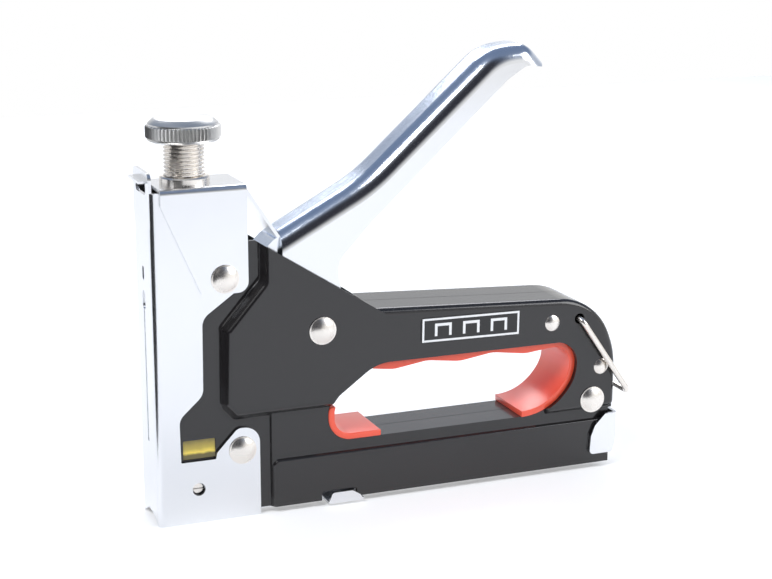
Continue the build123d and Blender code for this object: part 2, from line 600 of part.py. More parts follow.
# ---- magazine -------------------------------------------------------------------------------
def magazine_channel():
    """Fixed staple channel with its floor, nose foot, tail foot rib and two folded side tabs."""
    rear = TAIL_STOP_X
    channel = block(6.0, rear, -CHANNEL_HALF, CHANNEL_HALF, FLOOR_Z, CHANNEL_TOP_Z)
    inner = CHANNEL_HALF - CHANNEL_SHEET
    channel -= block(-FAR, 4 * FAR, -inner, inner, FLOOR_Z + CHANNEL_SHEET, 2 * FAR)
    foot_half = NOSE_HALF - NOSE_SHEET - 0.1
    channel += block(STICK_FRONT_X, JACKET_REAR_X, -foot_half, foot_half, 0, FLOOR_Z)
    channel += block(rear - 42.0, rear - 4.0, -2.6, 2.6, 0, FLOOR_Z)
    arm = block(TAB_FRONT_X, TAB_REAR_X, -TAB_HALF, TAB_HALF, FLOOR_Z, FLOOR_Z + 0.9)
    wall = [(TAB_FRONT_X, FLOOR_Z), (TAB_REAR_X, FLOOR_Z, 0.6), (TAB_REAR_X - 1.2, FLOOR_Z + 2.0, 0.8),
            (TAB_REAR_X - 4.0, TAB_TOP_Z, 1.5), (TAB_FRONT_X + 1.6, TAB_TOP_Z, 1.0)]
    return channel + arm + both_sides(wall, TAB_HALF - 1.0, TAB_HALF)


def staple_stick():
    """Stick of staples astride the rail, glued side by side."""
    start = STICK_FRONT_X
    leg_z = CROWN_TOP_Z - STAPLE_LEG
    stick = block(start, start + STICK_LENGTH, -STAPLE_HALF, STAPLE_HALF, leg_z, CROWN_TOP_Z)
    inner = STAPLE_HALF - STAPLE_WIRE
    return stick - block(0, 2 * FAR, -inner, inner, 0, CROWN_TOP_Z - STAPLE_WIRE)


def rail_top():
    """Top of the sliding rail, just under the staple crowns."""
    return CROWN_TOP_Z - STAPLE_WIRE - RUN_FIT


def magazine_rail():
    """Sliding rail that the staples straddle, open below and slotted for the follower."""
    top, inner = rail_top(), RAIL_HALF - 1.0
    rail = block(BLADE_X + BLADE_THICK + 0.8, TAIL_STOP_X, -RAIL_HALF, RAIL_HALF, RAIL_LOW_Z, top)
    rail -= block(-FAR, 4 * FAR, -inner, inner, 0, top - 1.0)
    rail += block(18.0, 20.0, -inner, inner, ROD_Z - 3.0, top - 1.0)
    rail += block(TAIL_STOP_X - 4.0, CLIP_WEB_X, -RAIL_HALF, RAIL_HALF, CLIP_LOW_Z, top)
    rail -= block(22.0, TAIL_STOP_X - 6.0, -SLOT_HALF, SLOT_HALF, top - 2.0, top + 1.0)
    rail -= lengthwise(18.0, TAIL_STOP_X - 1.0, ROD_R, ROD_Z)
    return rail


def rail_rod():
    """Rod that carries the follower and its spring inside the rail."""
    return lengthwise(18.0, TAIL_STOP_X - 1.0, ROD_R, ROD_Z)


def follower():
    """Block that pushes the staples forward, saddled on the rail and hung on the rod."""
    start = follower_x()
    top, length = rail_top(), FOLLOWER_LENGTH
    saddle = block(start, start + length, -STAPLE_HALF, STAPLE_HALF, RAIL_LOW_Z + 0.4, CROWN_TOP_Z + 1.4)
    saddle -= block(-FAR, 3 * FAR, -RAIL_HALF - SLIDE_GAP, RAIL_HALF + SLIDE_GAP, 0, top + RUN_FIT * 2)
    inner = RAIL_HALF - 1.0 - SLIDE_GAP
    saddle += block(start, start + length, -inner, inner, ROD_Z - 3.0, top - 1.0 - SLIDE_GAP)
    saddle += block(start, start + length, -SLOT_HALF + 0.2, SLOT_HALF - 0.2, top - 2.0, top + 1.0)
    return saddle - lengthwise(start - 1, start + length + 1, ROD_R + RUN_FIT, ROD_Z)


def follower_x():
    """Front face of the follower, behind the last staple."""
    return STICK_FRONT_X + STICK_LENGTH + SLIDE_GAP


def pusher_spring():
    """Light spring on the rod between follower and tail block."""
    low, high = follower_x() + FOLLOWER_LENGTH + 0.1, TAIL_STOP_X - 4.1
    wire_r, turns = 0.3, 26
    pitch = (high - low - 2 * wire_r) / turns
    return Pos(low, 0, ROD_Z) * Rot(0, 90, 0) * coil(ROD_R + 0.9, wire_r, pitch, turns)


def rear_clip():
    """Chromed clip wrapped round the tail, used as the handle of the sliding rail."""
    outer_half = BAND_HALF + SLIDE_GAP + NOSE_SHEET
    rear = CLIP_WEB_X + NOSE_SHEET
    front = CLIP_FRONT_X
    side = [(front + 5.8, CLIP_TOP_Z, 0.6), (front + 1.8, 16.4, 2.5), (front + 0.3, 12.6, 2.5),
            (front - 0.2, CLIP_LOW_Z, 1.5),
            (rear - 2.2, CLIP_LOW_Z, 1.5), (rear, 12.0, 3), (rear, CLIP_TOP_Z)]
    clip = side_plate(side, -outer_half, outer_half) & bent_upright(rear, FAR, outer_half, 2.0)
    clip -= bent_upright(CLIP_WEB_X, 0, BAND_HALF + SLIDE_GAP, 2.0 - NOSE_SHEET)
    return clip - lengthwise(CLIP_WEB_X - 1, CLIP_WEB_X + 5, 1.2, 12.0)


def clip_rivet():
    """Rivet that joins clip and rail."""
    web = CLIP_WEB_X + NOSE_SHEET
    return lengthwise(CLIP_WEB_X, web, 1.2, 12.0) + lengthwise(web, web + 0.8, 2.2, 12.0)


# ---- wire bail, liners, label ---------------------------------------------------------------
def wire_bail():
    """Bent wire loop that swings up over the closed lever."""
    end = PANEL_HALF - SHELL_SHEET - 2.0
    path = FilletPolyline(
        (BAIL_X, end, BAIL_Z), (BAIL_X, BAIL_HALF, BAIL_Z), (BAIL_END_X, BAIL_HALF, BAIL_END_Z),
        (BAIL_END_X, -BAIL_HALF, BAIL_END_Z), (BAIL_X, -BAIL_HALF, BAIL_Z), (BAIL_X, -end, BAIL_Z), radius=2.6)
    section = Plane(origin=path @ 0, z_dir=path % 0) * Circle(BAIL_R)
    return sweep(section, path=path)


def liner_band(thick):
    """Band along the finger hole's edge, thick towards the hole."""
    return hole_outline(0) - hole_outline(-thick)


def rear_grip_liner():
    """Red liner under the beam and round the tail end of the hole, waved for the fingers."""
    waves = [(75.0, BEAM_LOW_Z + 4), (75.0, 46.4), (82.5, 45.4, 14), (95.0, 47.2, 12), (107.0, 45.6, 14),
             (119.5, 47.4, 12), (132.0, 45.6, 14), (HOLE_REAR_X - 8.4, 46.8, 10), (HOLE_REAR_X - 1.4, BEAM_LOW_Z + 4)]
    upper = outline(waves) & hole_outline(0)
    region = Pos(HOLE_REAR_X - 20.4, LOWER_TOP_Z - 5) * Rectangle(60, 40, align=(Align.MIN, Align.MIN))
    band = upper + (liner_band(LINER_THICK) & region)
    return liner_solid(band)


def front_grip_liner():
    """Red liner round the lower front end of the hole."""
    region = Pos(50.0, LOWER_TOP_Z - 5) * Rectangle(28.0, 17.0, align=(Align.MIN, Align.MIN))
    return liner_solid(liner_band(LINER_THICK) & region)


def liner_solid(band):
    """Liner cross-section made solid to just inside the shell faces."""
    return extrude(Plane.XZ.offset(-LINER_HALF) * band, 2 * LINER_HALF)


def label_plate():
    """Thin plain badge on the right-hand side of the beam."""
    face = [(91.8, 53.8, 1.6), (128.8, 53.4, 1.6), (128.8, 62.0, 1.6), (91.8, 62.6, 1.6)]
    return side_plate(face, -PANEL_HALF - 0.25, -PANEL_HALF)


# ---- rivets ---------------------------------------------------------------------------------
def spacer_tubes():
    """Tubes on the small rivets that keep the shells apart."""
    half = PANEL_HALF - SHELL_SHEET
    tubes = [cross_bar(x, z, SMALL_SHANK_R + 1.1, -half, half) for x, z in SMALL_RIVETS]
    return [punched(tube, at, SMALL_SHANK_R + RUN_FIT) for tube, at in zip(tubes, SMALL_RIVETS)]


def small_rivets():
    """The two small rivets in beam and tail."""
    return [through_rivet(at, SMALL_HEAD_R, SMALL_SHANK_R, PANEL_HALF) for at in SMALL_RIVETS]


def pivot_rivet():
    """Large rivet that the lever turns on."""
    return through_rivet((PIVOT_X, PIVOT_Z), LARGE_HEAD_R, PIN_R, PANEL_HALF)


def grouped(solids):
    """Separate solids kept together in one node."""
    return Compound(solids)


def nodes():
    """Every node of the gun by name."""
    right = shell_right()
    return {
        "shell_right": right,
        "shell_left": mirror(right, about=Plane.XZ),
        "nose_jacket": nose_jacket(),
        "top_cap": top_cap(),
        "front_plate": front_plate(),
        "nose_guide": nose_guide(),
        "plunger_bumper": plunger_bumper(),
        "knob_collar": knob_collar(),
        "nose_studs": nose_studs(),
        "window_lenses": window_lenses(),
        "magazine_channel": magazine_channel(),
        "staple_stick": staple_stick(),
        "label_plate": label_plate(),
        "rear_grip_liner": rear_grip_liner(),
        "front_grip_liner": front_grip_liner(),
        "cap_rivet": through_rivet(CAP_RIVET, LARGE_HEAD_R, RIVET_SHANK_R, NOSE_HALF + NOSE_SHEET),
        "ear_rivet": through_rivet(EAR_RIVET, LARGE_HEAD_R, RIVET_SHANK_R, NOSE_HALF),
        "tail_rivet": through_rivet(TAIL_RIVET, LARGE_HEAD_R, RIVET_SHANK_R, PANEL_HALF),
        "pivot_rivet": pivot_rivet(),
        "small_rivets": grouped(small_rivets()),
        "spacer_tubes": grouped(spacer_tubes()),
        "lever": lever(),
        "pivot_bush": pivot_bush(),
        "lifter_arm": lifter_arm(),
        "drive_pin": drive_pin(),
        "lever_spring": lever_spring(),
        "plunger": plunger(),
        "lift_pin": lift_pin(),
        "driver_blade": driver_blade(),
        "main_spring": main_spring(),
        "spring_seat": spring_seat(),
        "adjuster_screw": adjuster_screw(),
        "power_knob": power_knob(),
        "rear_clip": rear_clip(),
        "clip_rivet": clip_rivet(),
        "magazine_rail": magazine_rail(),
        "rail_rod": rail_rod(),
        "follower": follower(),
        "pusher_spring": pusher_spring(),
        "wire_bail": wire_bail(),
    }


foot_middle = (STICK_FRONT_X + JACKET_REAR_X) / 2
os.makedirs("parts", exist_ok=True)
for name, solid in nodes().items():
    export_step(Pos(-foot_middle, 0, 0) * solid, f"parts/{name}.step")
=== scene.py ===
import json
from math import asin, cos, pi, radians, sin, tau

import bmesh
import bpy
from mathutils import Matrix, Vector


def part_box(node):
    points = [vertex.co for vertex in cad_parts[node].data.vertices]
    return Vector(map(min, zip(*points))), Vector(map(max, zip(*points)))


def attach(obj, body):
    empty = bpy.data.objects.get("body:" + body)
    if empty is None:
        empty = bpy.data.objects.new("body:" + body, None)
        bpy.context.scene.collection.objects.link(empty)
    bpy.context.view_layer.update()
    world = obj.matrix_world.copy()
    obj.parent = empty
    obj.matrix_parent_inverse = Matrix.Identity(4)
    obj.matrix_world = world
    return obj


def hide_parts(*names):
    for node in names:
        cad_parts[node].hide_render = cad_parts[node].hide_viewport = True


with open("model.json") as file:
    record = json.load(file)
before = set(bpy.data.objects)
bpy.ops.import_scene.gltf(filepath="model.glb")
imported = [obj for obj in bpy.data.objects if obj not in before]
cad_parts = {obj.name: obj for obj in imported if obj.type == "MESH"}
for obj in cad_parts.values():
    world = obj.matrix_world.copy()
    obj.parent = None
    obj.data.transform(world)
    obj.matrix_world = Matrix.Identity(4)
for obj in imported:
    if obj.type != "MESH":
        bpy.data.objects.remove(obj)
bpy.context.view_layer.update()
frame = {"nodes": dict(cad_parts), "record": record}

bl_info = {
    "name": "Staple Gun Builder",
    "version": (1, 0, 0),
    "blender": (4, 5, 0),
    "location": "View3D > Sidebar > Staple Gun",
    "description": "Builds the finished look of a hand staple gun round its working frame",
    "category": "Object",
}

MM = 0.001
DARK_END = (-0.33, -0.88, 0.34)  # way to the dark end of the room, behind the camera
CAMERA_PLACE = (-0.1567, -0.5511, 0.2197)
LIGHT_AIM = (0.06, 0, 0.07)  # middle of the gun, where the soft boxes point
NECK_RADIUS = 4.0 * MM  # neck of the screw inside the knob


# ---- sizes and colours ------------------------------------------------------------------------
class GunKnobSizes(bpy.types.PropertyGroup):
    """Sizes of the power knob and its screw."""
    teeth: bpy.props.IntProperty(name="Knurl ridges", description="Ridges round the knob's rim", default=54)
    knurl_depth: bpy.props.FloatProperty(
        name="Knurl depth", description="Height of the ridges", default=0.75 * MM, unit="LENGTH")
    pitch: bpy.props.FloatProperty(
        name="Thread pitch", description="Rise of the screw thread in one turn", default=1.25 * MM,
        unit="LENGTH")
    thread_depth: bpy.props.FloatProperty(
        name="Thread depth", description="Depth of the thread groove", default=0.62 * MM, unit="LENGTH")


class GunTrimSizes(bpy.types.PropertyGroup):
    """Sizes of rivets, liners, badge and staples."""
    rivet_rim: bpy.props.FloatProperty(
        name="Rivet rim", description="Width of the flat rim round a rivet's dome", default=0.35 * MM,
        unit="LENGTH")
    liner_round: bpy.props.FloatProperty(
        name="Liner edge", description="Radius along the edges of the grip liners", default=0.8 * MM,
        unit="LENGTH")
    badge_line: bpy.props.FloatProperty(
        name="Badge line", description="Width of the badge's printed frame", default=0.7 * MM, unit="LENGTH")
    staple_wire: bpy.props.FloatProperty(
        name="Staple wire", description="Width of one staple's wire", default=0.7 * MM, unit="LENGTH")


class GunColours(bpy.types.PropertyGroup):
    """Colours of the finishes."""
    lacquer: bpy.props.FloatVectorProperty(
        name="Lacquer", description="Black stoving lacquer", subtype="COLOR",
        default=(0.0105, 0.0095, 0.0100))
    grip: bpy.props.FloatVectorProperty(
        name="Grip", description="Moulded grip liners", subtype="COLOR", default=(0.83, 0.090, 0.042))
    chrome: bpy.props.FloatVectorProperty(
        name="Chrome", description="Chromed sheet", subtype="COLOR", default=(0.76, 0.77, 0.79))
    nickel: bpy.props.FloatVectorProperty(
        name="Nickel", description="Nickelled rivets and studs", subtype="COLOR", default=(0.80, 0.76, 0.71))
    window: bpy.props.FloatVectorProperty(
        name="Window", description="Amber staple window", subtype="COLOR", default=(0.78, 0.60, 0.08))


class GunStageSizes(bpy.types.PropertyGroup):
    """Camera and floor."""
    azimuth: bpy.props.FloatProperty(
        name="Azimuth", description="Turn of the camera", subtype="ANGLE", default=radians(-21.9))
    elevation: bpy.props.FloatProperty(
        name="Elevation", description="Height angle of the camera", subtype="ANGLE", default=radians(14.1))
    lens: bpy.props.FloatProperty(name="Lens", description="Focal length in mm", default=83.94)
    floor: bpy.props.FloatProperty(name="Floor", description="Width of the floor", default=1.8, unit="LENGTH")


def settings():
    """The four groups of settings on the scene."""
    scene = bpy.context.scene
    return scene.gun_knob, scene.gun_trim, scene.gun_colours, scene.gun_stage


# ---- shader wiring ----------------------------------------------------------------------------
class Wire:
    """An output socket that does sums: an expression on wires adds its Math nodes."""

    def __init__(self, graph, socket):
        self.graph = graph
        self.socket = socket

    def sum(self, operation, first, second):
        """One Math node on two wires or numbers."""
        return self.graph.add("ShaderNodeMath", {"operation": operation}, {0: first, 1: second})

    def __add__(self, other):
        return self.sum("ADD", self, other)

    __radd__ = __add__

    def __sub__(self, other):
        return self.sum("SUBTRACT", self, other)

    def __rsub__(self, other):
        return self.sum("SUBTRACT", other, self)

    def __mul__(self, other):
        return self.sum("MULTIPLY", self, other)

    __rmul__ = __mul__

    def __gt__(self, other):
        return self.sum("GREATER_THAN", self, other)

    def __pow__(self, other):
        return self.sum("POWER", self, other)


class Graph:
    """A node tree and its shader, a finish's own unless another is given."""

    def __init__(self, name, owner=None, shader="Principled BSDF"):
        self.name = name
        self.material = owner or bpy.data.materials.new(f"finish_{name}")
        self.material.use_nodes = True
        self.tree = self.material.node_tree
        self.shader = self.tree.nodes[shader]

    def add(self, kind, options=None, inputs=None, output=0):
        """A node of one type: its options first, then the values or wires of its sockets."""
        node = self.tree.nodes.new(kind)
        for key, value in (options or {}).items():
            if key == "stops":
                self.ramp(node, value)
            else:
                setattr(node, key, value)
        for key, value in (inputs or {}).items():
            self.feed(node.inputs[key], value)
        return Wire(self, node.outputs[output])

    def ramp(self, node, stops):
        """Sets a colour ramp's stops."""
        elements = node.color_ramp.elements
        while len(elements) < len(stops):
            elements.new(1.0)
        for element, (place, grey) in zip(elements, stops):
            element.position = place
            element.color = (grey, grey, grey, 1.0)

    def feed(self, socket, value):
        """Links a wire to a socket or sets its value."""
        if isinstance(value, Wire):
            self.tree.links.new(value.socket, socket)
        else:
            socket.default_value = value

    def set(self, **values):
        """Feeds the shader's sockets, named with underscores for spaces."""
        for key, value in values.items():
            self.feed(self.shader.inputs[key.replace("_", " ")], value)
        return self

    def place(self, scale=(1, 1, 1)):
        """Object coordinates in metres, stretched by scale."""
        at = self.add("ShaderNodeTexCoord", output="Object")
        return self.add("ShaderNodeMapping", {}, {"Vector": at, "Scale": scale})

    def noise(self, scale, detail=3.0, rough=0.5, stretch=(1, 1, 1)):
        """Noise from 0 to 1 with its scale per metre."""
        return self.add("ShaderNodeTexNoise", {}, {
            "Vector": self.place(stretch), "Scale": scale, "Detail": detail, "Roughness": rough},
            output="Fac")

    def mix(self, factor, low, high):
        """Blend of two colours."""
        return self.add("ShaderNodeMix", {"data_type": "RGBA"}, {0: factor, 6: low, 7: high}, output=2)

    def bump(self, height, strength, distance):
        """Feeds the shader's normal from a height."""
        return self.set(Normal=self.add("ShaderNodeBump", {}, {
            "Height": height, "Strength": strength, "Distance": distance}))


def rgba(colour, gain=1.0):
    """Colour with alpha, brightened by gain."""
    return (*(min(1.0, c * gain) for c in colour), 1.0)


# ---- finishes ---------------------------------------------------------------------------------
def black_lacquer(colours):
    """Gloss black stoving lacquer with a faint orange peel."""
    g = Graph("black_lacquer")
    cloud = g.noise(38.0, 4.0)
    g.set(Base_Color=g.mix(cloud, rgba(colours.lacquer, 0.85), rgba(colours.lacquer, 1.25)))
    g.set(Roughness=0.16 + 0.10 * cloud, Specular_IOR_Level=0.50, Coat_Weight=0.25, Coat_Roughness=0.04)
    return g.bump(g.noise(420.0, 2.0), 0.05, 0.4 * MM)


def sheet_chrome(colours):
    """Bright chrome over rolled sheet: soft waviness and fine rolling streaks."""
    g = Graph("satin_chrome")
    streak = g.noise(240.0, 3.0, 0.6, (9.0, 9.0, 0.35))
    haze = g.noise(26.0, 3.0)
    g.set(Base_Color=g.mix(haze, rgba(colours.chrome, 0.95), rgba(colours.chrome, 1.05)), Metallic=1.0)
    g.set(Roughness=0.13 + 0.07 * haze + 0.06 * streak)
    return g.bump(g.noise(34.0, 2.0) + 0.04 * streak, 0.16, 0.5 * MM)


def lever_chrome(colours):
    """Chrome over a drawn pressing: pebbled on the rounded top, smooth on the flat sides, with a painted
    reflection of the bluish ceiling tinting the rounded top cooler.
    """
    g = Graph("lever_chrome")
    facing = g.add("ShaderNodeSeparateXYZ", {}, {0: g.add("ShaderNodeTexCoord", output="Normal")}, output="Y")
    top = 1.0 - g.add("ShaderNodeMath", {"operation": "ABSOLUTE"}, {0: facing}) ** 4.0
    peel = g.noise(210.0, 4.0, 0.6)
    haze = g.noise(20.0, 3.0)
    # painted reflection: the upward-facing rounded top is tinted cooler and a little darker, standing in for
    # the bluish ceiling it reflects
    painted_ceiling_reflection = (colours.chrome[0] * 0.86, colours.chrome[1] * 0.93, colours.chrome[2] * 1.04, 1.0)
    g.set(Base_Color=g.mix(top, rgba(colours.chrome), painted_ceiling_reflection), Metallic=1.0)
    g.set(Roughness=0.12 + 0.05 * haze + 0.10 * top * peel)
    return g.bump(peel * top * 0.8 + g.noise(30.0, 2.0) * 0.8, 0.22, 0.35 * MM)


def nickel(colours):
    """Warm nickel plate on headed and turned pieces."""
    g = Graph("nickel")
    haze = g.noise(180.0, 4.0)
    g.set(Base_Color=g.mix(haze, rgba(colours.nickel, 0.92), rgba(colours.nickel, 1.06)), Metallic=1.0)
    g.set(Roughness=0.20 + 0.14 * haze)
    return g.bump(g.noise(700.0, 3.0), 0.08, 0.1 * MM)


def turned_metal(name, colour, rough, grain=(1, 1, 1)):
    """Machined or drawn metal with fine grain along one way."""
    g = Graph(name)
    streak = g.noise(900.0, 4.0, 0.6, grain)
    haze = g.noise(60.0, 3.0)
    g.set(Base_Color=g.mix(haze, rgba(colour, 0.88), rgba(colour, 1.08)), Metallic=1.0)
    g.set(Roughness=rough + 0.10 * haze + 0.10 * streak)
    return g.bump(streak, 0.10, 0.08 * MM)


def moulded(name, colour, rough, speck, coat):
    """Moulded plastic with a fine eroded texture."""
    g = Graph(name)
    haze = g.noise(45.0, 3.0)
    g.set(Base_Color=g.mix(haze, rgba(colour, 0.90), rgba(colour, 1.06)))
    g.set(Roughness=rough + 0.10 * haze, Coat_Weight=coat, Coat_Roughness=0.25)
    return g.bump(g.noise(speck, 3.0), 0.12, 0.12 * MM)


def amber_window(colours):
    """Clear amber plastic, with painted shade darkening it over its sill and a painted glow along a band
    where light gathers.
    """
    g = Graph("amber_window")
    low, high = (Vector(corner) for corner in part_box("window_lenses"))
    rise = g.add("ShaderNodeSeparateXYZ", {}, {0: g.place()}, output="Z")
    part = (rise - low.z) * (1.0 / (high.z - low.z))
    # painted light and shade: the ramp darkens the window low down, brightens a band across it and dims it
    # again near the top
    stops = ((0.0, 0.10), (0.30, 0.12), (0.42, 1.0), (0.62, 0.55), (1.0, 0.22))
    painted_light_and_shade = g.add("ShaderNodeValToRGB", {"stops": stops}, {0: part + 0.16 * g.noise(420.0, 2.0)})
    g.set(Base_Color=g.mix(painted_light_and_shade, (0.035, 0.032, 0.012, 1), rgba(colours.window)))
    g.set(Roughness=0.08 + 0.10 * g.noise(160.0), Coat_Weight=0.6, IOR=1.49)
    return g.bump(g.noise(220.0, 2.0), 0.05, 0.1 * MM)


def printed(name, colour, rough):
    """Printed foil with a slight grain."""
    g = Graph(name)
    haze = g.noise(500.0, 3.0)
    g.set(Base_Color=g.mix(haze, rgba(colour, 0.94), rgba(colour, 1.04)), Roughness=rough + 0.08 * haze)
    return g.bump(haze, 0.04, 0.05 * MM)


def floor_finish():
    """Pale matt floor."""
    g = Graph("stage_floor")
    haze = g.noise(3.0, 2.0)
    g.set(Base_Color=g.mix(haze, (0.78, 0.78, 0.78, 1), (0.82, 0.82, 0.82, 1)), Roughness=0.9)
    return g.set(Emission_Color=(1, 1, 1, 1), Emission_Strength=0.30)


FINISHES = {}


def make_finishes():
    """Every finish by the name of its slot in the record."""
    colours = settings()[2]
    graphs = [
        black_lacquer(colours), sheet_chrome(colours), lever_chrome(colours), nickel(colours),
        turned_metal("knob_metal", (0.64, 0.635, 0.62), 0.24),
        turned_metal("hard_steel", (0.42, 0.42, 0.43), 0.26, (1, 1, 0.1)),
        turned_metal("zinc_steel", (0.62, 0.63, 0.64), 0.24, (0.1, 1, 1)),
        turned_metal("spring_steel", (0.30, 0.29, 0.28), 0.28),
        moulded("red_grip", colours.grip, 0.26, 900.0, 0.35), amber_window(colours),
        moulded("nylon", (0.78, 0.76, 0.68), 0.40, 600.0, 0.0),
        printed("badge", (0.78, 0.79, 0.80), 0.30), printed("badge_ground", (0.012, 0.012, 0.013), 0.28),
    ]
    FINISHES.update({g.name: g.material for g in graphs})
    slots = {entry["node"]: entry["material_slot"] for entry in frame["record"]["subparts"]}
    for name, node in frame["nodes"].items():
        node.data.materials.clear()
        node.data.materials.append(FINISHES[slots[name]])


# ---- mesh helpers -----------------------------------------------------------------------------
def middle(node):
    """Centre of a node's box."""
    low, high = (Vector(corner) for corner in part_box(node))
    return (low + high) / 2


def finish(name, bm, body, slot, replaced=(), smooth=45.0):
    """Turns a bmesh into a piece that rides on a body and takes a slot's finish."""
    mesh = bpy.data.meshes.new(name)
    bm.to_mesh(mesh)
    bm.free()
    piece = bpy.data.objects.new(name, mesh)
    bpy.context.scene.collection.objects.link(piece)
    mesh.materials.append(FINISHES[slot])
    shade(mesh, smooth)
    if replaced:
        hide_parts(*replaced)
    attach(piece, body)
    return piece


def shade(mesh, degrees):
    """Smooth shading, with edges sharper than the angle kept crisp."""
    mesh.shade_smooth()
    mesh.set_sharp_from_angle(angle=radians(degrees))


def turned(bm, profile, centre, axis, steps=96):
    """Spins a profile of (radius, height) points round an axis through centre."""
    axis = Vector(axis)
    side = axis.orthogonal().normalized()
    verts = [bm.verts.new(centre + side * r + axis * h) for r, h in profile]
    edges = [bm.edges.new(pair) for pair in zip(verts, verts[1:])]
    bmesh.ops.spin(bm, geom=verts + edges, cent=centre, axis=axis, angle=tau, steps=steps, use_merge=True)
    bmesh.ops.remove_doubles(bm, verts=bm.verts, dist=1e-6)
    bmesh.ops.recalc_face_normals(bm, faces=bm.faces)


def arc(r, h, radius, start, end, steps):
    """Points of a profile arc about (r, h), its angles in degrees."""
    angles = [radians(start + (end - start) * i / steps) for i in range(steps + 1)]
    return [(r + radius * cos(a), h + radius * sin(a)) for a in angles]


def merged_copy(node):
    """Bmesh of a CAD node with its loose triangles joined."""
    bm = bmesh.new()
    bm.from_mesh(frame["nodes"][node].data)
    bmesh.ops.remove_doubles(bm, verts=bm.verts, dist=2e-6)
    bmesh.ops.dissolve_limit(bm, angle_limit=radians(0.5), verts=bm.verts, edges=bm.edges)
    return bm


# ---- power knob and screw ---------------------------------------------------------------------
def knob_axis():
    """Foot of the knob's axis and the knob's box heights and radius."""
    low, high = (Vector(corner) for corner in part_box("power_knob"))
    at = middle("power_knob")
    return Vector((at.x, at.y, 0)), low.z, high.z, (high.x - low.x) / 2


def build_knob():
    """Knurled knob with a bevelled top and a matt face with a turned dimple."""
    sizes = settings()[0]
    centre, bottom, high, radius = knob_axis()
    rim_low, rim_high = bottom + 0.9 * MM, high - 2.2 * MM
    face = radius - 2.9 * MM
    profile = [(NECK_RADIUS, bottom), (radius - 1.2 * MM, bottom), (radius - 0.5 * MM, bottom + 0.5 * MM),
               (radius - sizes.knurl_depth, rim_low), (radius - sizes.knurl_depth, rim_high),
               (radius - 0.75 * MM, rim_high + 0.5 * MM), (face + 0.35 * MM, high - 0.12 * MM),
               (face, high), (face - 0.6 * MM, high - 0.04 * MM), (0.0, high - 0.04 * MM)]
    bm = bmesh.new()
    turned(bm, profile, centre, (0, 0, 1), 2 * sizes.teeth)
    finish("power_knob_turned", bm, "knob", "knob_metal", ("power_knob",), 35)
    bm = bmesh.new()
    pitch = tau * radius / sizes.teeth
    for i in range(sizes.teeth):
        turn = Matrix.Rotation(tau * i / sizes.teeth, 4, "Z")
        add_ridge(bm, turn, centre, radius, (rim_low, rim_high), pitch, sizes.knurl_depth)
    finish("power_knob_knurl", bm, "knob", "knob_metal", smooth=20)


def add_ridge(bm, turn, centre, radius, span, pitch, depth):
    """One straight knurl ridge on the rim, with its ends chamfered."""
    half = pitch * 0.46
    low, high = span
    lean = 0.45 * MM
    foot = radius - depth - 0.05 * MM
    corners = [(foot, -half, low), (foot, half, low), (foot, half, high), (foot, -half, high)]
    crest = [(radius, 0, low + lean), (radius, 0, high - lean)]
    base = [bm.verts.new(centre + turn @ Vector(p)) for p in corners]
    top = [bm.verts.new(centre + turn @ Vector(p)) for p in crest]
    bm.faces.new((base[0], base[1], top[0]))
    bm.faces.new((base[1], base[2], top[1], top[0]))
    bm.faces.new((base[2], base[3], top[1]))
    bm.faces.new((base[3], base[0], top[0], top[1]))
    bm.faces.new((base[3], base[2], base[1], base[0]))


def build_screw():
    """Screw with its thread cut as one helix from the knob down to the seat."""
    sizes = settings()[0]
    centre = knob_axis()[0]
    low, high = (Vector(corner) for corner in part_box("adjuster_screw"))
    radius, shoulder = (high.x - low.x) / 2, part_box("power_knob")[0][2]
    bm = bmesh.new()
    pitch, depth = sizes.pitch, sizes.thread_depth
    section = [(0.00, 0.0), (0.12, 0.0), (0.44, depth), (0.56, depth), (0.88, 0.0), (1.00, 0.0)]
    steps = 56
    turns = (shoulder - low.z - 0.8 * MM) / pitch - 1.0
    start = low.z + 0.4 * MM
    verts = [bm.verts.new(centre + Vector((radius - cut, 0, start + part * pitch))) for part, cut in section]
    edges = [bm.edges.new(pair) for pair in zip(verts, verts[1:])]
    count = int(turns * steps)
    bmesh.ops.spin(bm, geom=verts + edges, cent=centre, axis=(0, 0, 1), angle=tau * count / steps,
                   steps=count, dvec=(0, 0, pitch / steps))
    bmesh.ops.remove_doubles(bm, verts=bm.verts, dist=1e-6)
    core = radius - depth - 0.01 * MM
    turned(bm, [(0, low.z), (core - 0.4 * MM, low.z), (core, low.z + 0.5 * MM), (core, shoulder),
                (NECK_RADIUS, shoulder), (NECK_RADIUS, high.z), (0, high.z)], centre, (0, 0, 1), 64)
    finish("adjuster_screw_threaded", bm, "knob", "nickel", ("adjuster_screw",), 30)


# ---- rivets -----------------------------------------------------------------------------------
RIVETS = ("cap_rivet", "ear_rivet", "tail_rivet", "pivot_rivet")


def build_rivets():
    """Domed heads with a thin flat rim on the large rivets, one each side of the gun."""
    rim = settings()[1].rivet_rim
    for node in RIVETS:
        low, high = (Vector(corner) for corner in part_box(node))
        radius = (high.x - low.x) / 2
        at = middle(node)
        rise = 0.34 * radius
        ball = ((radius - rim) ** 2 + (rise - rim) ** 2) / (2 * (rise - rim))
        spread = 180 / pi * asin((radius - rim) / ball)
        dome = arc(0.0, rise - ball, ball, 90 - spread, 90, 14)
        edge = [(radius - rim, 0.0), (radius, 0.06 * MM), (radius, rim * 0.8), (radius - rim * 0.5, rim)]
        inner = high.y - rise
        bm = bmesh.new()
        for side in (-1, 1):
            face = Vector((at.x, side * inner, at.z))
            turned(bm, [(0.0, 0.0), *edge, *dome], face, (0, side, 0), 72)
        shank = 2.4 * MM if node != "pivot_rivet" else 3.0 * MM
        pin = [(0.0, -inner), (shank, -inner), (shank, inner), (0.0, inner)]
        turned(bm, pin, Vector((at.x, 0, at.z)), (0, 1, 0), 48)
        finish(f"{node}_turned", bm, "frame", "nickel", (node,), 40)


